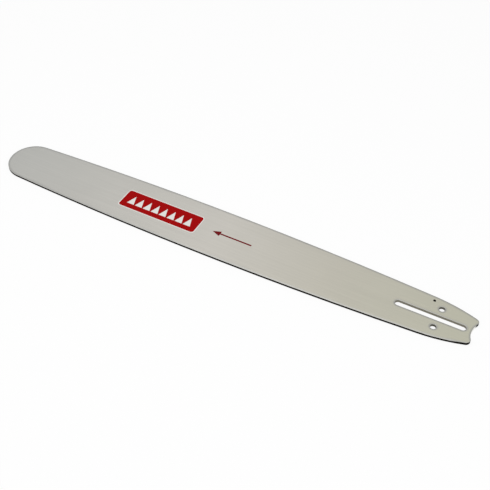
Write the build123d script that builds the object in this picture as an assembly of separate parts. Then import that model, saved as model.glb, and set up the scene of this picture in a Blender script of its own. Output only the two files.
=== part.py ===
from build123d import *
import math
import os

# A hard-nose chainsaw guide bar: one plate of saw steel with a groove for the chain milled into its edge.
# It lies flat on its lower face. X runs along the bar, from the nose at -X to the tail at +X, which is
# clamped to the saw. Y runs across it and Z through its thickness. The origin is the middle of the stud
# slot, on the lower face. All sizes are in millimetres.

# The plate
overall_length = 763.0  # nose tip to the tips of the tail's horns
bar_width = 92.0  # at the widest place, the crown
thickness = 4.1
edge_break = 0.3  # chamfer that takes the burr off both faces' outer edges

# The outline, from the nose to the tail
nose_taper = 8.1  # what each side draws in from the crown to the nose
crown_station = 341.8  # nose tip to the crown
tail_taper = 11.0  # what each side draws in from the crown to the tail curve
tail_curve_length = 66.4  # measured along X
tail_curve_radius = 252.0
horn_radius = 6.5  # rounding of the two corners at the tail
notch_depth = 3.9  # hollow of the tail's end, below the horns

# The chain groove and the two rails beside it
groove_width = 1.3  # gauge of the chain's drive links
groove_depth = 9.0
lead_in_length = 18.0  # over which the groove widens towards the tail, to guide the chain in
lead_in_flare = 0.8  # what each rail loses there on its inner side

# The mounting end
slot_width = 9.5  # slides on the saw's bar studs
slot_length = 100.4
slot_to_tail = 11.5  # the slot's rear end to the tips of the horns
adjuster_diameter = 8.4  # takes the chain tensioner's pin
adjuster_spacing = 34.3
adjuster_offset = 10.5  # behind the slot's middle
oil_diameter = 3.0
oil_lead = 14.1  # the oil hole's mouth, ahead of the adjuster holes
oil_bite = 1.3  # the mouth's middle, outside the groove's floor
oil_slant = 45.0  # degrees that the drill leans from upright
oil_heading = 45.0  # degrees that it points from straight ahead towards the edge

cutter_runout = 5.0  # how far the cutters pass beyond the plate

# Stations and radii that follow from those sizes
half_width = bar_width / 2
tail_x = slot_length / 2 + slot_to_tail
nose_x = tail_x - overall_length
crown_x = nose_x + crown_station
nose_radius = half_width - nose_taper
nose_centre = Vector(nose_x + nose_radius, 0)
tail_start = Vector(tail_x - tail_curve_length, half_width - tail_taper)

# Each side is two long arcs that meet level at the crown. The front one touches the nose's circle,
# and the rear one passes through the place where the tail curve starts.
front_run = crown_x - nose_centre.X
front_radius = (front_run**2 / nose_taper + nose_radius + half_width) / 2
front_centre = Vector(crown_x, half_width - front_radius)
rear_run = tail_start.X - crown_x
rear_radius = (rear_run**2 / tail_taper + tail_taper) / 2
rear_centre = Vector(crown_x, half_width - rear_radius)
tail_centre = tail_start + (rear_centre - tail_start).normalized() * tail_curve_radius


def upper_point(centre, radius, x):
    """The point of a circle at x, on its +Y side."""
    return Vector(x, centre.Y + math.sqrt(radius**2 - (x - centre.X) ** 2))


def outer_point(centre, radius, inner):
    """The point of a circle in the direction of an inner point."""
    return centre + (inner - centre).normalized() * radius


def across(point):
    """The same point on the bar's other side."""
    return Vector(point.X, -point.Y)


def arc(centre, start, end):
    """The arc of less than half a turn about centre."""
    radius = (start - centre).length
    middle = centre + ((start + end) / 2 - centre).normalized() * radius
    return ThreePointArc(start, middle, end)


def both_sides(edges):
    """Edges of the +Y side with their mirror images."""
    return edges + [mirror(edge, about=Plane.XZ) for edge in edges]


def edge_arcs(inset, tail_end):
    """The nose and both sides as far as tail_end, set in from the bar's edge."""
    nose_end = outer_point(front_centre, front_radius - inset, nose_centre)
    crown = Vector(crown_x, half_width - inset)
    tail = outer_point(rear_centre, rear_radius - inset, tail_start)
    nose = arc(nose_centre, across(nose_end), nose_end)
    sides = [
        arc(front_centre, nose_end, crown),
        arc(rear_centre, crown, tail),
        arc(tail_centre, tail, tail_end),
    ]
    return [nose] + both_sides(sides)


def bar_outline():
    """The bar's whole edge, with round horns and a hollow end at the tail."""
    horn_centre = upper_point(tail_centre, tail_curve_radius - horn_radius, tail_x - horn_radius)
    # The hollow is the circle that is notch_depth deep and touches both horns.
    notch_radius = notch_depth / 2 - horn_radius + horn_centre.Y**2 / (2 * notch_depth)
    notch_centre = Vector(tail_x - notch_depth + notch_radius, 0)
    horn_start = outer_point(tail_centre, tail_curve_radius, horn_centre)
    horn_end = outer_point(horn_centre, horn_radius, notch_centre)
    horns = both_sides([arc(horn_centre, horn_start, horn_end)])
    notch = arc(notch_centre, horn_end, across(horn_end))
    return make_face(edge_arcs(0, horn_start) + horns + [notch])


def groove_plan():
    """Everything outside the groove's floor, which runs out at the tail."""
    run_out = upper_point(tail_centre, tail_curve_radius - groove_depth, tail_x + 2 * cutter_runout)
    floor = make_face(edge_arcs(groove_depth, run_out) + [Line(run_out, across(run_out))])
    reach = Rectangle(overall_length + 2 * cutter_runout, bar_width + 2 * cutter_runout)
    return Pos((nose_x + tail_x) / 2, 0) * reach - floor


def groove_cutters():
    """The groove itself, and the funnel at the tail that leads the chain into it."""
    plan = groove_plan()
    groove = Pos(0, 0, (thickness - groove_width) / 2) * extrude(plan, groove_width)
    start = Vector(tail_x - lead_in_length, 0, thickness / 2)
    reach = Vector(lead_in_length + cutter_runout, 0)
    spread = lead_in_flare * reach.X / lead_in_length
    narrow = Vector(0, 0, groove_width / 2)
    wide = Vector(0, 0, groove_width / 2 + spread)
    corners = [start - narrow, start + reach - wide, start + reach + wide, start + narrow]
    wedge = extrude(make_face(Polyline(*corners, close=True)), bar_width, both=True)
    return [groove, wedge & extrude(plan, thickness)]


def through_cutter(shape):
    """A cutter that passes right through the plate."""
    return Pos(0, 0, -cutter_runout) * extrude(shape, thickness + 2 * cutter_runout)


def mounting_cutters():
    """The stud slot and the two adjuster holes."""
    slot = SlotOverall(slot_length, slot_width)
    hole = Circle(adjuster_diameter / 2)
    holes = [Pos(adjuster_offset, side * adjuster_spacing / 2) * hole for side in (1, -1)]
    return [through_cutter(shape) for shape in [slot] + holes]


def oil_cutters():
    """A slanting hole from each face into the groove, so that the bar can be turned over."""
    x = adjuster_offset - oil_lead
    y = upper_point(tail_centre, tail_curve_radius, x).Y - groove_depth + oil_bite
    slant = math.radians(oil_slant)
    heading = math.radians(oil_heading)
    ahead = Vector(-math.cos(heading), math.sin(heading)) * math.sin(slant)
    mouth = Plane((x, y, thickness), z_dir=ahead - Vector(0, 0, math.cos(slant)))
    drill = extrude(mouth * Circle(oil_diameter / 2), thickness + oil_diameter + cutter_runout, both=True)
    from_above = split(drill, Plane.XY.offset(thickness / 2))
    from_below = Pos(0, 0, thickness) * Rot(180, 0, 0) * from_above
    return [from_above, from_below]


def guide_bar():
    """The finished bar as one solid."""
    blank = extrude(bar_outline(), thickness)
    blank = chamfer(blank.faces().filter_by(Axis.Z).edges(), edge_break)
    return blank - groove_cutters() - mounting_cutters() - oil_cutters()


os.makedirs("parts", exist_ok=True)
bar = guide_bar()
export_step(bar, "parts/guide_bar.step")
print("guide_bar", bar.bounding_box().size, "volume", round(bar.volume), "mm3")
print("side radii", round(front_radius), "and", round(rear_radius), "mm")
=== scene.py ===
# %% [markdown]
# A hard-nose chainsaw guide bar: one long plate of saw steel that the chain runs round.
# Its solid comes ready made and stays as it is. This lesson gives it its finishes, prints plain
# marks on its face, and sets it up on a white floor in soft light, seen as in the photograph.

# %% Load the bar as a fixed frame
import math

import bpy
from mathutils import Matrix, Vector


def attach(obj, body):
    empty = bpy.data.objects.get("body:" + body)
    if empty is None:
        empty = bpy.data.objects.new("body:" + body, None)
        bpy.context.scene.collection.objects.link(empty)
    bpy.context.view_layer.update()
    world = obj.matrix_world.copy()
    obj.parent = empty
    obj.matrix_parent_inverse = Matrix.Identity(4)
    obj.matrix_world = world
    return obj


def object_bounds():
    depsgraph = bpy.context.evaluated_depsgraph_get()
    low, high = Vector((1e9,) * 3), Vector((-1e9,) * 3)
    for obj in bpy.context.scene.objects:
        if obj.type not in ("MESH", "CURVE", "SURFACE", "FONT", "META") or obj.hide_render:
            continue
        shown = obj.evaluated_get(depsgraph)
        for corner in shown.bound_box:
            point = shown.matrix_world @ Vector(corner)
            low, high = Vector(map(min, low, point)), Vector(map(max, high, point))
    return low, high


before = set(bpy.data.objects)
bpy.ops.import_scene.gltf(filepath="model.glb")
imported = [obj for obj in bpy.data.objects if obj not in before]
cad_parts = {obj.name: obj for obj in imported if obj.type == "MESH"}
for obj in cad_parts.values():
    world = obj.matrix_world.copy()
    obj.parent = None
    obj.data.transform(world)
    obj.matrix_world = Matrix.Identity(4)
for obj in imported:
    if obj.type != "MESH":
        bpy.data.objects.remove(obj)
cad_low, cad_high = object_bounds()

MM = 0.001
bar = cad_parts["guide_bar"]
nose_x = cad_low.x
tail_x = cad_high.x
thickness = cad_high.z - cad_low.z
print("bar", [round(v / MM, 1) for v in cad_high - cad_low], "mm,", len(bar.data.polygons), "faces")

# %% [markdown]
# The camera comes first, because every other choice is judged through it. The bar's outline, its
# slot and its round holes fix where a photograph was taken from: here from above the tail's near
# side, with a long lens. The aim point is on the bar's face, and it lies a little off the middle
# of the picture, so the camera is moved sideways and not turned.

# %% Set up the camera at the photograph's angle
picture_width_px = 490
focal_length_px = 924
sensor_width_mm = 36
view_azimuth = math.radians(28.73)
view_elevation = math.radians(44.96)
view_distance = 1345.0 * MM
aim_from_nose = 368 * MM
aim_right_of_middle = -45.4 * MM
aim_above_middle = 19.9 * MM

back = Vector((
    math.sin(view_azimuth) * math.cos(view_elevation),
    -math.cos(view_azimuth) * math.cos(view_elevation),
    math.sin(view_elevation),
))
right = Vector((math.cos(view_azimuth), math.sin(view_azimuth), 0))
up = back.cross(right)
aim = Vector((nose_x + aim_from_nose, 0, cad_high.z))

camera = bpy.data.objects.new("camera", bpy.data.cameras.new("camera"))
bpy.context.scene.collection.objects.link(camera)
camera.location = aim + back * view_distance - right * aim_right_of_middle - up * aim_above_middle
camera.rotation_euler = (-back).to_track_quat("-Z", "Y").to_euler()
camera.data.sensor_width = sensor_width_mm
camera.data.lens = sensor_width_mm * focal_length_px / picture_width_px
bpy.context.scene.camera = camera
print("camera", [round(v, 3) for v in camera.location], "lens", round(camera.data.lens, 1), "mm")

# %% [markdown]
# A few helpers serve every finish. Colours are written as they look on a screen, so one function
# turns them into the linear values that the renderer adds up. Another adds a node with its
# settings and its links, so that each finish reads from top to bottom. The others start a sheet of
# nodes, open and close a material, and make the pattern that most metals and inks share: patches of
# a real size that drift between two colours.

# %% Colour and node helpers
MATH = "ShaderNodeMath"


def linear(hex_colour):
    """A colour such as #B7B8B1 as linear red, green, blue and alpha."""
    parts = [int(hex_colour[i:i + 2], 16) / 255 for i in (1, 3, 5)]
    return [p / 12.92 if p <= 0.04045 else ((p + 0.055) / 1.055) ** 2.4 for p in parts] + [1]


def add(owner, kind, settings=None, links=None):
    """Adds a node. A setting is a property, or an input by name or number, and a link an input."""
    node = owner.node_tree.nodes.new(kind)
    for name, value in (settings or {}).items():
        if isinstance(name, str) and hasattr(node, name):
            setattr(node, name, value)
        else:
            node.inputs[name].default_value = value
    for name, output in (links or {}).items():
        owner.node_tree.links.new(output, node.inputs[name])
    return node


def empty_sheet(owner):
    """A material or a world with no nodes yet."""
    owner.use_nodes = True
    owner.node_tree.nodes.clear()
    return owner


def new_material(name):
    """An empty material, and the place on the bar that its patterns read."""
    material = empty_sheet(bpy.data.materials.new(name))
    return material, add(material, "ShaderNodeTexCoord").outputs["Object"]


def shade(material, settings, links):
    """Closes a material with its surface shader."""
    shader = add(material, "ShaderNodeBsdfPrincipled", settings, links)
    add(material, "ShaderNodeOutputMaterial", links={"Surface": shader.outputs["BSDF"]})
    print("finish", material.name, "with", len(material.node_tree.nodes), "nodes")
    return material


def mottle(material, place, size, dark, light):
    """Patches of about this size that drift between two colours: the colour, and the drift itself."""
    noise = add(material, "ShaderNodeTexNoise", {"Scale": 1 / size, "Detail": 3}, {"Vector": place})
    drift = noise.outputs["Fac"]
    spread = add(material, "ShaderNodeMapRange", {"From Min": 0.3, "From Max": 0.7}, {"Value": drift})
    # A colour mix has its factor at input 0, its colours at 6 and 7, and its result at output 2.
    colour = add(material, "ShaderNodeMix", {"data_type": "RGBA", 6: linear(dark), 7: linear(light)},
                 {0: spread.outputs["Result"]}).outputs[2]
    return colour, drift


print("a middle grey, #808080, is", [round(v, 3) for v in linear("#808080")], "in linear light")

# %% [markdown]
# Two things mark the faces beside the edge. A faint grey band lies along it, and tumbling the bar
# with abrasive stones rolls the last few millimetres over very slightly. To draw both, the face needs to
# know how far each point is from the edge. A painted mask could say so, but the outline is only a few
# arcs, so the distance can be worked out: the half width is largest at the crown and draws in towards
# both ends, and the nose is round.

# %% Distance from a point of the face to the bar's edge
HALF_WIDTH = cad_high.y
NOSE_RADIUS = 37.9 * MM
CROWN_FROM_NOSE = 341.8 * MM
SIDE_RADIUS = 5735 * MM
TAIL_CURVE_LENGTH = 66.4 * MM
TAIL_CURVE_RADIUS = 252 * MM
nose_centre = nose_x + NOSE_RADIUS
crown_from_centre = CROWN_FROM_NOSE - NOSE_RADIUS
tail_from_centre = tail_x - TAIL_CURVE_LENGTH - nose_centre


def distance_to_edge(material, place):
    """To the edge of the nose and of the two sides, along the whole bar."""
    parts = add(material, "ShaderNodeSeparateXYZ", links={"Vector": place}).outputs
    along = add(material, MATH, {"operation": "SUBTRACT", 1: nose_centre}, {0: parts["X"]}).outputs[0]
    ahead = add(material, MATH, {"operation": "MINIMUM", 1: 0}, {0: along}).outputs[0]
    behind = add(material, MATH, {"operation": "MAXIMUM", 1: 0}, {0: along}).outputs[0]
    spoke = add(material, "ShaderNodeCombineXYZ", links={"X": ahead, "Y": parts["Y"]}).outputs[0]
    reach = add(material, "ShaderNodeVectorMath", {"operation": "LENGTH"}, {0: spoke}).outputs["Value"]
    run = add(material, MATH, {"operation": "SUBTRACT", 1: crown_from_centre}, {0: behind}).outputs[0]
    run_squared = add(material, MATH, {"operation": "MULTIPLY"}, {0: run, 1: run}).outputs[0]
    half = add(material, MATH, {"operation": "MULTIPLY_ADD", 1: -0.5 / SIDE_RADIUS, 2: HALF_WIDTH},
               {0: run_squared}).outputs[0]
    past = add(material, MATH, {"operation": "SUBTRACT", 1: tail_from_centre}, {0: along}).outputs[0]
    into = add(material, MATH, {"operation": "MAXIMUM", 1: 0}, {0: past}).outputs[0]
    into_squared = add(material, MATH, {"operation": "MULTIPLY"}, {0: into, 1: into}).outputs[0]
    half_there = add(material, MATH, {"operation": "MULTIPLY_ADD", 1: -0.5 / TAIL_CURVE_RADIUS},
                     {0: into_squared, 2: half}).outputs[0]
    return add(material, MATH, {"operation": "SUBTRACT"}, {0: half_there, 1: reach}).outputs[0]


print("crown", CROWN_FROM_NOSE / MM, "mm from the nose, half width there", round(HALF_WIDTH / MM, 2), "mm")

# %% [markdown]
# The rims of the slot, the adjuster holes and the tail's hollow end get the grey band as well, and the
# stones roll them too. Round the mouth of the small oil hole the steel is painted black as shade. All of
# these are circles, and the slot is one that is drawn out along the bar, so each distance is the distance
# to a centre, less a radius. Each oil hole opens on one face only: above on the +Y side, below on the other.

# %% Distances from a point of the face to its openings
SLOT_RADIUS = 4.75 * MM
SLOT_RUN = 45.45 * MM
ADJUSTER_RADIUS = 4.2 * MM
ADJUSTER_CENTRE = Vector((10.5, 17.15, 0)) * MM
NOTCH_RADIUS = 32.9 * MM
NOTCH_CENTRE = Vector((90.7, 0, 0)) * MM
OIL_RADIUS = 1.7 * MM
OIL_CENTRE = Vector((-3.9, 27.1, 0)) * MM


def distance_to_circle(material, point, centre, radius):
    """From outside a circle to the circle."""
    gap = add(material, "ShaderNodeVectorMath", {"operation": "DISTANCE", 1: centre}, {0: point})
    return add(material, MATH, {"operation": "SUBTRACT", 1: radius},
               {0: gap.outputs["Value"]}).outputs[0]


def distance_to_rims(material, place):
    """To the nearest rim of the slot, the two adjuster holes and the tail's hollow end."""
    parts = add(material, "ShaderNodeSeparateXYZ", links={"Vector": place}).outputs
    across = add(material, MATH, {"operation": "ABSOLUTE"}, {0: parts["Y"]}).outputs[0]
    folded = add(material, "ShaderNodeCombineXYZ", links={"X": parts["X"], "Y": across}).outputs[0]
    along = add(material, MATH, {"operation": "ABSOLUTE"}, {0: parts["X"]}).outputs[0]
    past = add(material, MATH, {"operation": "SUBTRACT", 1: SLOT_RUN}, {0: along}).outputs[0]
    into = add(material, MATH, {"operation": "MAXIMUM", 1: 0}, {0: past}).outputs[0]
    off_run = add(material, "ShaderNodeCombineXYZ", links={"X": into, "Y": across}).outputs[0]
    slot = distance_to_circle(material, off_run, (0, 0, 0), SLOT_RADIUS)
    hole = distance_to_circle(material, folded, ADJUSTER_CENTRE, ADJUSTER_RADIUS)
    notch = distance_to_circle(material, folded, NOTCH_CENTRE, NOTCH_RADIUS)
    inside = add(material, MATH, {"operation": "MINIMUM"}, {0: slot, 1: hole}).outputs[0]
    return add(material, MATH, {"operation": "MINIMUM"}, {0: inside, 1: notch}).outputs[0]


def distance_to_oil_hole(material, place):
    """To the mouth of the oil hole on this point's own face."""
    parts = add(material, "ShaderNodeSeparateXYZ", links={"Vector": place}).outputs
    above = add(material, MATH, {"operation": "SUBTRACT", 1: thickness / 2}, {0: parts["Z"]})
    side = add(material, MATH, {"operation": "SIGN"}, {0: above.outputs[0]}).outputs[0]
    across = add(material, MATH, {"operation": "MULTIPLY"}, {0: parts["Y"], 1: side}).outputs[0]
    turned = add(material, "ShaderNodeCombineXYZ", links={"X": parts["X"], "Y": across}).outputs[0]
    return distance_to_circle(material, turned, OIL_CENTRE, OIL_RADIUS)


print("slot", 2 * SLOT_RADIUS / MM, "mm wide, adjuster holes", 2 * ADJUSTER_RADIUS / MM, "mm")

# %% [markdown]
# The flat faces are ground lengthwise and then clear lacquered. That gives a pale, slightly warm
# grey with a soft even sheen: no mirror, but still metal. Along the bar the tone is a little lighter in the
# middle and yellower towards the tail. Grinding leaves fine lines along the bar. They are really about
# 0.2 mm apart, far too fine to show here, so they are drawn about 1.6 mm apart and very faint.

# %% Tone and grinding lines of the faces
LINE_PITCH = 1.6 * MM
LINE_LENGTH = 140 * MM
LINE_CONTRAST = 0.08
CLOUD_SIZE = 70 * MM
CLOUD_CONTRAST = 0.03


def ground_tone(material, place):
    """The steel's colour along the bar, and the grinding lines in it."""
    along = add(material, "ShaderNodeSeparateXYZ", links={"Vector": place}).outputs["X"]
    station = add(material, "ShaderNodeMapRange", {"From Min": nose_x, "From Max": tail_x}, {"Value": along})
    tone = add(material, "ShaderNodeValToRGB", links={"Fac": station.outputs["Result"]})
    stops = tone.color_ramp.elements
    stops[0].color = linear("#B1B1AD")
    stops[1].color = linear("#B5B4A4")
    stops.new(0.5).color = linear("#C0BDB6")
    stops.new(0.72).color = linear("#B8B5AA")
    stretched = add(material, "ShaderNodeMapping",
                    {"Scale": (1 / LINE_LENGTH, 1 / LINE_PITCH, 1 / LINE_PITCH)}, {"Vector": place})
    lines = add(material, "ShaderNodeTexNoise", {"Scale": 1, "Detail": 4, "Roughness": 0.6},
                {"Vector": stretched.outputs["Vector"]}).outputs["Fac"]
    clouds = add(material, "ShaderNodeTexNoise", {"Scale": 1 / CLOUD_SIZE, "Detail": 2},
                 {"Vector": place}).outputs["Fac"]
    line_light = add(material, "ShaderNodeMapRange",
                     {"To Min": 1 - LINE_CONTRAST, "To Max": 1 + LINE_CONTRAST}, {"Value": lines})
    cloud_light = add(material, "ShaderNodeMapRange",
                      {"To Min": 1 - CLOUD_CONTRAST, "To Max": 1 + CLOUD_CONTRAST}, {"Value": clouds})
    light = add(material, MATH, {"operation": "MULTIPLY"},
                {0: line_light.outputs["Result"], 1: cloud_light.outputs["Result"]})
    steel = add(material, "ShaderNodeVectorMath", {"operation": "SCALE"},
                {"Vector": tone.outputs["Color"], "Scale": light.outputs["Value"]})
    return steel.outputs["Vector"], lines


print("grinding lines", round(LINE_PITCH / MM, 1), "mm apart, clouds", round(CLOUD_SIZE / MM), "mm wide")

# %% [markdown]
# Two marks change that tone in places. A grey band fades with the distance from the edge, where
# its width drifts along the bar, and from the rims. A ring round the oil hole's mouth is painted black as
# shade, and so are the horns, so the last helper serves them all.

# %% Grey band, and black painted shade
GREY_BAND = 4.0 * MM
GREY_DRIFT = 30 * MM
RIM_TINT = 3.2 * MM
SHADE_PATCH = 5 * MM


def grey_band_beside_edges(material, place, colour, edge, rim):
    """Greys a colour beside the bar's edge and the openings' rims."""
    drift = add(material, "ShaderNodeTexNoise", {"Scale": 1 / GREY_DRIFT, "Detail": 2}, {"Vector": place})
    band = add(material, "ShaderNodeMapRange", {"To Min": 0.6 * GREY_BAND, "To Max": 1.4 * GREY_BAND},
               {"Value": drift.outputs["Fac"]})
    near_edge = add(material, "ShaderNodeMapRange", {"To Min": 1, "To Max": 0},
                    {"Value": edge, "From Max": band.outputs["Result"]})
    near_rim = add(material, "ShaderNodeMapRange", {"From Max": RIM_TINT, "To Min": 1, "To Max": 0},
                   {"Value": rim})
    share = add(material, MATH, {"operation": "MAXIMUM"},
                {0: near_edge.outputs["Result"], 1: near_rim.outputs["Result"]})
    return add(material, "ShaderNodeMix", {"data_type": "RGBA", 7: linear("#969694")},
               {0: share.outputs["Value"], 6: colour}).outputs[2]


def blacken_as_painted_shade(material, place, colour, share):
    """Lets a colour turn to an uneven black, a painted shade, as a share goes from zero to one."""
    black, _ = mottle(material, place, SHADE_PATCH, "#141310", "#1D1A16")
    return add(material, "ShaderNodeMix", {"data_type": "RGBA"}, {0: share, 6: colour, 7: black}).outputs[2]


print("heat tint", round(GREY_BAND / MM, 1), "mm wide, at the rims", round(RIM_TINT / MM, 1), "mm")

# %% [markdown]
# With the tone, its grey band and its painted shade at hand, the finish of the faces needs only its relief
# and its gloss. The grinding lines are a bump, and so are the rolled edge and rims: they really drop by a
# tenth of what they do here, too little to show, and too little to change the bar's shape.

# %% Ground and lacquered steel for the two faces
LINE_DEPTH = 0.01 * MM
ROLL_WIDTH = 4.0 * MM
ROLL_DROP = 0.8 * MM
RIM_WIDTH = 2.4 * MM
RIM_DROP = 0.5 * MM
HOLE_SHADE_RING = 0.5 * MM


def roll_over(material, distance, width, drop, normal):
    """Lets the face drop ever faster towards an edge, as a bump that adds to another."""
    beside = add(material, "ShaderNodeMapRange", {"From Max": width, "To Min": 1, "To Max": 0},
                 {"Value": distance}).outputs["Result"]
    fall = add(material, MATH, {"operation": "MULTIPLY"}, {0: beside, 1: beside})
    return add(material, "ShaderNodeBump", {"invert": True, "Strength": 1, "Distance": drop},
               {"Height": fall.outputs["Value"], "Normal": normal}).outputs["Normal"]


def lacquered_steel():
    material, place = new_material("saw_steel_ground_and_lacquered")
    steel, lines = ground_tone(material, place)
    edge = distance_to_edge(material, place)
    rim = distance_to_rims(material, place)
    greyed = grey_band_beside_edges(material, place, steel, edge, rim)
    # The black ring round the oil hole's mouth is painted shade.
    hole_mouth_shade = add(material, "ShaderNodeMapRange", {"From Max": HOLE_SHADE_RING, "To Min": 1, "To Max": 0},
               {"Value": distance_to_oil_hole(material, place)})
    colour = blacken_as_painted_shade(material, place, greyed, hole_mouth_shade.outputs["Result"])
    roughness = add(material, "ShaderNodeMapRange", {"To Min": 0.4, "To Max": 0.5}, {"Value": lines})
    ground = add(material, "ShaderNodeBump", {"Strength": 0.3, "Distance": LINE_DEPTH}, {"Height": lines})
    rolled = roll_over(material, edge, ROLL_WIDTH, ROLL_DROP, ground.outputs["Normal"])
    normal = roll_over(material, rim, RIM_WIDTH, RIM_DROP, rolled)
    return shade(material, {"Metallic": 1.0},
                 {"Base Color": colour, "Roughness": roughness.outputs["Result"], "Normal": normal})


face_steel = lacquered_steel()

# %% [markdown]
# The rails beside the groove are hardened by induction: a coil heats the edge red hot and water
# quenches it. Their steel is drawn almost black, a painted shade for the shadowed side walls, with a
# drift between grey and brown. The drifts follow the heat, so their noise is a few centimetres long.

# %% Hardened steel for the rails, painted almost black as shade
RAIL_DRIFT = 25 * MM


def hardened_steel_painted_shade():
    material, place = new_material("saw_steel_hardened_painted_shade")
    # The near-black colours are painted shade for the rails' side walls.
    colour, drift = mottle(material, place, RAIL_DRIFT, "#171511", "#201B13")
    roughness = add(material, "ShaderNodeMapRange", {"To Min": 0.38, "To Max": 0.55}, {"Value": drift})
    return shade(material, {"Metallic": 1.0},
                 {"Base Color": colour, "Roughness": roughness.outputs["Result"]})


rail_steel_painted_shade = hardened_steel_painted_shade()

# %% [markdown]
# The burr comes off the edges of both faces last, so the narrow edge break is bare steel. Its colour is
# drawn brighter than the face, partly bare steel and partly a painted highlight: a thin bright line between
# the grey face and the black rail, rubbed brighter here and duller there. On the horns it is painted black
# as shade, so the line fades out along the last stretch of the two sides.

# %% Bright steel for the broken edges: painted highlight, and painted shade on the horns
RUB_LENGTH = 6 * MM
RUB_ENDS_FROM_TAIL = 22 * MM
BLACK_FROM_TAIL = 14 * MM
HORN_SHADE_START = 9 * MM
HORN_SHADE_END = 13 * MM


def off_middle(material, place):
    """Zero along the middle of the bar, one where the horns are."""
    across = add(material, "ShaderNodeSeparateXYZ", links={"Vector": place}).outputs["Y"]
    width = add(material, MATH, {"operation": "ABSOLUTE"}, {0: across})
    return add(material, "ShaderNodeMapRange", {"From Min": HORN_SHADE_START, "From Max": HORN_SHADE_END},
               {"Value": width.outputs["Value"]}).outputs["Result"]


def bare_edge_painted_highlight_and_shade():
    material, place = new_material("saw_steel_bare_painted_highlight_and_shade")
    along = add(material, "ShaderNodeSeparateXYZ", links={"Vector": place}).outputs["X"]
    near_tail = add(material, "ShaderNodeMapRange",
                    {"From Min": tail_x - RUB_ENDS_FROM_TAIL, "From Max": tail_x - BLACK_FROM_TAIL},
                    {"Value": along}).outputs["Result"]
    on_horns = add(material, MATH, {"operation": "MULTIPLY"},
                   {0: near_tail, 1: off_middle(material, place)})
    # Bright colours: partly bare steel, partly painted highlight; black on the horns is painted shade.
    bright, _ = mottle(material, place, RUB_LENGTH, "#BCBBB6", "#D2D0CA")
    colour = blacken_as_painted_shade(material, place, bright, on_horns.outputs["Value"])
    return shade(material, {"Metallic": 1.0, "Roughness": 0.4}, {"Base Color": colour})


edge_steel = bare_edge_painted_highlight_and_shade()

# %% [markdown]
# The groove is milled with a thin cutter and never lacquered. It is deep and narrow and keeps some oil,
# and hardly any light comes back out of it, so its steel is painted almost black as shade: a dull dark
# steel with cutter marks. The oil holes that feed it get the same painted shade.

# %% Milled steel inside the groove and the oil holes, painted dark as shade
CUTTER_MARK = 2 * MM


def milled_steel_painted_shade():
    material, place = new_material("saw_steel_milled_painted_shade")
    # Near-black colours: painted shade inside the groove and the oil holes.
    colour, _ = mottle(material, place, CUTTER_MARK, "#0E0E0E", "#1C1B1A")
    return shade(material, {"Metallic": 0.6, "Roughness": 0.7}, {"Base Color": colour})


groove_steel_painted_shade = milled_steel_painted_shade()

# %% [markdown]
# The slot and the adjuster holes are cut through after grinding. Their walls are bare cut steel with a
# thin film of oil: darker and warmer than the lacquered face, with fine marks that stand upright, the
# way the cutter went through. The drilled holes get a darker mix of the same recipe: painted shade
# for their small, deep walls.

# %% Cut steel for the walls
WALL_MARK = 0.8 * MM
WALL_MARK_HEIGHT = 20 * MM
WALL_MARK_DEPTH = 0.05 * MM


def cut_steel(name, dark, light, metallic):
    material, place = new_material(name)
    upright = add(material, "ShaderNodeMapping",
                  {"Scale": (1 / WALL_MARK, 1 / WALL_MARK, 1 / WALL_MARK_HEIGHT)}, {"Vector": place})
    colour, marks = mottle(material, upright.outputs["Vector"], 1, dark, light)
    bump = add(material, "ShaderNodeBump", {"Strength": 0.3, "Distance": WALL_MARK_DEPTH}, {"Height": marks})
    return shade(material, {"Metallic": metallic, "Roughness": 0.5},
                 {"Base Color": colour, "Normal": bump.outputs["Normal"]})


wall_steel = cut_steel("saw_steel_cut", "#736F64", "#8B877A", 1.0)
# The drilled holes' darker colours are painted shade for their deep walls.
hole_steel_painted_shade = cut_steel("saw_steel_drilled_painted_shade", "#57544A", "#6B6759", 0.5)

# %% [markdown]
# The hollow end of the tail is sheared last, after grinding and lacquering, so it is bare and bright. At
# both ends, on the horns, it is painted black as shade where the groove opens.

# %% Sheared steel for the tail's end, with painted shade on the horns
BRIGHT_PATCH = 5 * MM


def sheared_steel_horn_shade():
    material, place = new_material("saw_steel_sheared_horns_painted_shade")
    light, _ = mottle(material, place, BRIGHT_PATCH, "#E4E3DA", "#F0EFE8")
    # Black on the horns is painted shade where the groove opens.
    colour = blacken_as_painted_shade(material, place, light, off_middle(material, place))
    return shade(material, {"Metallic": 1.0, "Roughness": 0.45}, {"Base Color": colour})


end_steel = sheared_steel_horn_shade()

# %% [markdown]
# One solid carries all these finishes. Each face of its mesh belongs to one of them by its place in the
# thickness: the flat faces lie at the very bottom and top, the edge breaks slope away from them, the
# walls of the slot and holes stand from one face to the other, and the rails stand between an edge
# break and the groove. The tail's end has no groove, so there the wall is taller than a rail.

# %% Give each face of the bar its finish
EDGE_BREAK = 0.3 * MM
TOLERANCE = 0.02 * MM
UPRIGHT = 0.5
finishes = {"face": face_steel, "rail": rail_steel_painted_shade, "edge": edge_steel, "groove": groove_steel_painted_shade,
            "wall": wall_steel, "hole": hole_steel_painted_shade, "tail end": end_steel}


def finish_of(polygon):
    """The finish that belongs at this face's place in the thickness."""
    heights = [bar.data.vertices[i].co.z - cad_low.z for i in polygon.vertices]
    height = max(heights) - min(heights)
    depth = min(min(heights), thickness - max(heights))
    if height > thickness - TOLERANCE:
        return "wall" if abs(polygon.center.y) < SLOT_RADIUS + TOLERANCE else "hole"
    if depth < TOLERANCE and height < TOLERANCE:
        return "face"
    if depth < TOLERANCE and height < EDGE_BREAK + TOLERANCE:
        return "edge"
    if abs(depth - EDGE_BREAK) < TOLERANCE and abs(polygon.normal.z) < UPRIGHT:
        return "rail" if height < thickness / 2 else "tail end"
    return "groove"


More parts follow.
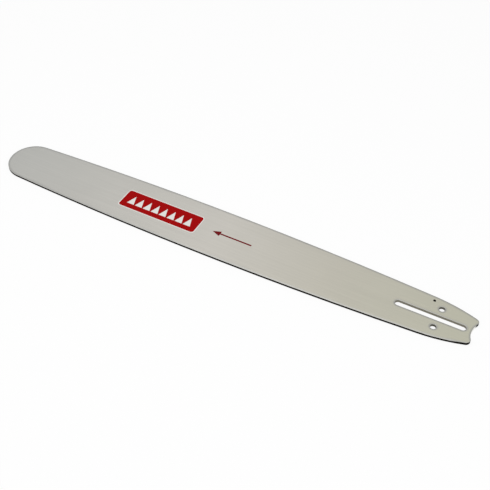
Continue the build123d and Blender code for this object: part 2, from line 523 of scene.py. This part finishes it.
bar.data.materials.clear()
for material in finishes.values():
    bar.data.materials.append(material)
order = list(finishes)
counts = dict.fromkeys(order, 0)
for polygon in bar.data.polygons:
    finish = finish_of(polygon)
    polygon.material_index = order.index(finish)
    counts[finish] += 1
print("faces by finish", counts)

# %% [markdown]
# The marks on the face are screen printed: ink pressed through a mesh lies on the lacquer as a film a few
# hundredths of a millimetre thick, with a soft gloss and a faint grain. Three inks are used. Each is one
# small variation on the same recipe, so one function makes them all.

# %% Screen printing inks
INK_FILM = 0.03 * MM
INK_GRAIN = 1.5 * MM


def printed_ink(name, dark, light):
    material, place = new_material(name)
    colour, _ = mottle(material, place, INK_GRAIN, dark, light)
    return shade(material, {"Roughness": 0.5, "Specular IOR Level": 0.04}, {"Base Color": colour})


red_ink = printed_ink("screen_ink_red", "#A20305", "#AD0608")
white_ink = printed_ink("screen_ink_white", "#EDEDE8", "#F6F6F2")
dark_red_ink = printed_ink("screen_ink_dark_red", "#701418", "#7B1A1D")

# %% [markdown]
# A print is a flat shape with a thickness. It starts as a plane of the right size and place, is shaped in
# edit mode, and a Solidify modifier then gives it the ink's film. Three helpers do what every mark
# needs: one starts the plane, one picks its points by their place, and one finishes the mark and lets
# it ride on the bar.

# %% Helpers for printed marks
def select_only(piece):
    """Makes this the only selected piece, and the active one."""
    bpy.ops.object.select_all(action="DESELECT")
    piece.select_set(True)
    bpy.context.view_layer.objects.active = piece


def start_plane(name, centre_x, length, height):
    """A flat plane on the bar's face, on its middle line."""
    bpy.ops.object.select_all(action="DESELECT")
    bpy.ops.mesh.primitive_plane_add(size=1, location=(centre_x, 0, cad_high.z))
    mark = bpy.context.object
    mark.name = name
    mark.scale = (length, height, 1)
    bpy.ops.object.transform_apply(location=True, rotation=True, scale=True)
    return mark


def edit_points(mark, chosen):
    """Opens the mark in edit mode with only the points selected for which chosen is true."""
    for part in (*mark.data.polygons, *mark.data.edges):
        part.select = False
    for vertex in mark.data.vertices:
        vertex.select = chosen(vertex.co)
    bpy.ops.object.mode_set(mode="EDIT")
    bpy.ops.mesh.select_mode(type="VERT")


def finish_mark(mark, ink, layers=1):
    """Gives the mark its film and its ink, and lets it ride on the bar."""
    select_only(mark)
    film = mark.modifiers.new("film", "SOLIDIFY")
    film.thickness = layers * INK_FILM
    film.offset = 1
    bpy.ops.object.modifier_apply(modifier=film.name)
    mark.data.materials.clear()
    mark.data.materials.append(ink)
    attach(mark, "root")
    print("mark", mark.name, "with", len(mark.data.polygons), "faces")


print("marks lie on the upper face, at", round(cad_high.z / MM, 2), "mm")

# %% [markdown]
# The main mark is a plain red panel with slightly rounded corners. Rounding a flat shape is a bevel of
# its corner points. A white keyline round it is the same shape, a little larger, inset and with its
# middle taken out.

# %% Red panel with a white keyline
PANEL_CENTRE = nose_x + 277 * MM
PANEL_LENGTH = 130 * MM
PANEL_HEIGHT = 35 * MM
CORNER = 4 * MM
CORNER_STEPS = 8
KEYLINE = 1.4 * MM


def rounded_plane(name, length, height, radius):
    """A plane at the panel's place with its four corners rounded."""
    mark = start_plane(name, PANEL_CENTRE, length, height)
    edit_points(mark, lambda point: True)
    bpy.ops.mesh.bevel(offset=radius, segments=CORNER_STEPS, affect="VERTICES")
    bpy.ops.object.mode_set(mode="OBJECT")
    return mark


panel = rounded_plane("printed_panel", PANEL_LENGTH, PANEL_HEIGHT, CORNER)
finish_mark(panel, red_ink)

keyline = rounded_plane("printed_keyline", PANEL_LENGTH + 2 * KEYLINE, PANEL_HEIGHT + 2 * KEYLINE,
                        CORNER + KEYLINE)
edit_points(keyline, lambda point: True)
bpy.ops.mesh.inset(thickness=KEYLINE)
bpy.ops.mesh.delete(type="FACE")
bpy.ops.object.mode_set(mode="OBJECT")
finish_mark(keyline, white_ink)

# %% [markdown]
# Inside the panel runs a row of white saw teeth, the plainest sign for what the bar is for. One tooth is
# a plane whose two upper corners are merged into a tip. The others are copies of it, each moved along by
# the pitch, and all are joined into one print that lies on the red.

# %% Row of white teeth in the panel
TOOTH_COUNT = 8
TOOTH_PITCH = 14 * MM
TOOTH_BASE = 12 * MM
TOOTH_HEIGHT = 17 * MM

first_x = PANEL_CENTRE - (TOOTH_COUNT - 1) / 2 * TOOTH_PITCH
tooth = start_plane("printed_teeth", first_x, TOOTH_BASE, TOOTH_HEIGHT)
edit_points(tooth, lambda point: point.y > 0)
bpy.ops.mesh.merge(type="CENTER")
bpy.ops.object.mode_set(mode="OBJECT")

teeth = [tooth]
for number in range(1, TOOTH_COUNT):
    copy = tooth.copy()
    copy.data = tooth.data.copy()
    bpy.context.scene.collection.objects.link(copy)
    select_only(copy)
    bpy.ops.transform.translate(value=(number * TOOTH_PITCH, 0, 0))
    bpy.ops.object.transform_apply(location=True, rotation=True, scale=True)
    teeth.append(copy)

select_only(tooth)
for copy in teeth:
    copy.select_set(True)
bpy.ops.object.join()
finish_mark(tooth, white_ink, layers=2)

# %% [markdown]
# Beside the panel a slim dark red arrow points to the nose. Its shaft is a plane, and its head grows out
# of the shaft's end: extruded in place, spread across, extruded again and drawn together to the tip.

# %% Dark red arrow
ARROW_CENTRE = nose_x + 398 * MM
ARROW_LENGTH = 64 * MM
SHAFT_HEIGHT = 2.6 * MM
HEAD_LENGTH = 13 * MM
HEAD_HEIGHT = 10 * MM

shaft_centre = ARROW_CENTRE + HEAD_LENGTH / 2
arrow = start_plane("printed_arrow", shaft_centre, ARROW_LENGTH - HEAD_LENGTH, SHAFT_HEIGHT)
edit_points(arrow, lambda point: point.x < ARROW_CENTRE)
bpy.ops.mesh.extrude_region_move(TRANSFORM_OT_translate={"value": (0, 0, 0)})
bpy.ops.transform.resize(value=(1, HEAD_HEIGHT / SHAFT_HEIGHT, 1))
bpy.ops.mesh.extrude_region_move(TRANSFORM_OT_translate={"value": (-HEAD_LENGTH, 0, 0)})
bpy.ops.mesh.merge(type="CENTER")
bpy.ops.object.mode_set(mode="OBJECT")
finish_mark(arrow, dark_red_ink)

# %% [markdown]
# The studio is a white floor in a white room. Lamps strong enough to turn plain paper white would also
# bleach the bar, so floor and room show more light than they give: only where the camera, a reflection
# or a clear material looks at them. What the floor gets from the lamps still shows the bar's soft shadow.

# %% White floor and room
FLOOR_SIZE = 60000 * MM
PAPER_GLOW = 0.86
ROOM_LIGHT = 0.55


def looked_at(owner):
    """One where the camera, a reflection or a clear material looks, otherwise zero."""
    path = add(owner, "ShaderNodeLightPath").outputs
    seen = add(owner, MATH, {"operation": "MAXIMUM"},
               {0: path["Is Camera Ray"], 1: path["Is Glossy Ray"]})
    return add(owner, MATH, {"operation": "MAXIMUM"},
               {0: seen.outputs[0], 1: path["Is Transmission Ray"]}).outputs[0]


def white_paper():
    """Paper that takes the bar's shadow and glows where it is looked at."""
    material = empty_sheet(bpy.data.materials.new("white_paper"))
    glow = add(material, MATH, {"operation": "MULTIPLY", 1: PAPER_GLOW}, {0: looked_at(material)})
    paper = add(material, "ShaderNodeBsdfDiffuse", {"Color": linear("#6E6E6E")})
    shine = add(material, "ShaderNodeEmission", {"Color": linear("#FFFFFF")}, {"Strength": glow.outputs[0]})
    both = add(material, "ShaderNodeAddShader",
               links={0: paper.outputs["BSDF"], 1: shine.outputs["Emission"]})
    add(material, "ShaderNodeOutputMaterial", links={"Surface": both.outputs["Shader"]})
    return material


bpy.ops.object.select_all(action="DESELECT")
bpy.ops.mesh.primitive_plane_add(size=FLOOR_SIZE, location=(0, 0, cad_low.z))
floor = bpy.context.object
floor.name = "floor"
floor.data.materials.append(white_paper())

room = empty_sheet(bpy.data.worlds.new("white_room"))
bpy.context.scene.world = room
strength = add(room, "ShaderNodeMapRange", {"To Min": ROOM_LIGHT, "To Max": 1}, {"Value": looked_at(room)})
backdrop = add(room, "ShaderNodeBackground", {"Color": linear("#FFFFFF")},
               {"Strength": strength.outputs["Result"]})
add(room, "ShaderNodeOutputWorld", links={"Surface": backdrop.outputs["Background"]})
print("floor", [round(v, 2) for v in floor.dimensions], "m, room light", ROOM_LIGHT)

# %% [markdown]
# Two large soft lamps do the rest: one high above the bar, which lights the face evenly, and a weaker
# one beyond the tail, on its near side, which brightens the walls that look that way.

# %% Soft lamps
def soft_lamp(name, place, size, power):
    """A flat lamp that faces the middle of the bar. Place and size are in metres, the power in watts."""
    light = bpy.data.lights.new(name, "AREA")
    light.shape = "RECTANGLE"
    light.size, light.size_y = size
    light.energy = power
    lamp = bpy.data.objects.new(name, light)
    bpy.context.scene.collection.objects.link(lamp)
    lamp.location = place
    middle = (cad_low + cad_high) / 2
    lamp.rotation_euler = (middle - lamp.location).to_track_quat("-Z", "Y").to_euler()
    print(name, power, "W")


soft_lamp("lamp_above", place=Vector((-0.45, -0.3, 1.7)), size=(1.4, 1.0), power=9)
soft_lamp("lamp_beyond_tail", place=Vector((1.6, -0.7, 0.9)), size=(0.8, 0.8), power=4)
bpy.context.scene.view_settings.view_transform = "Standard"
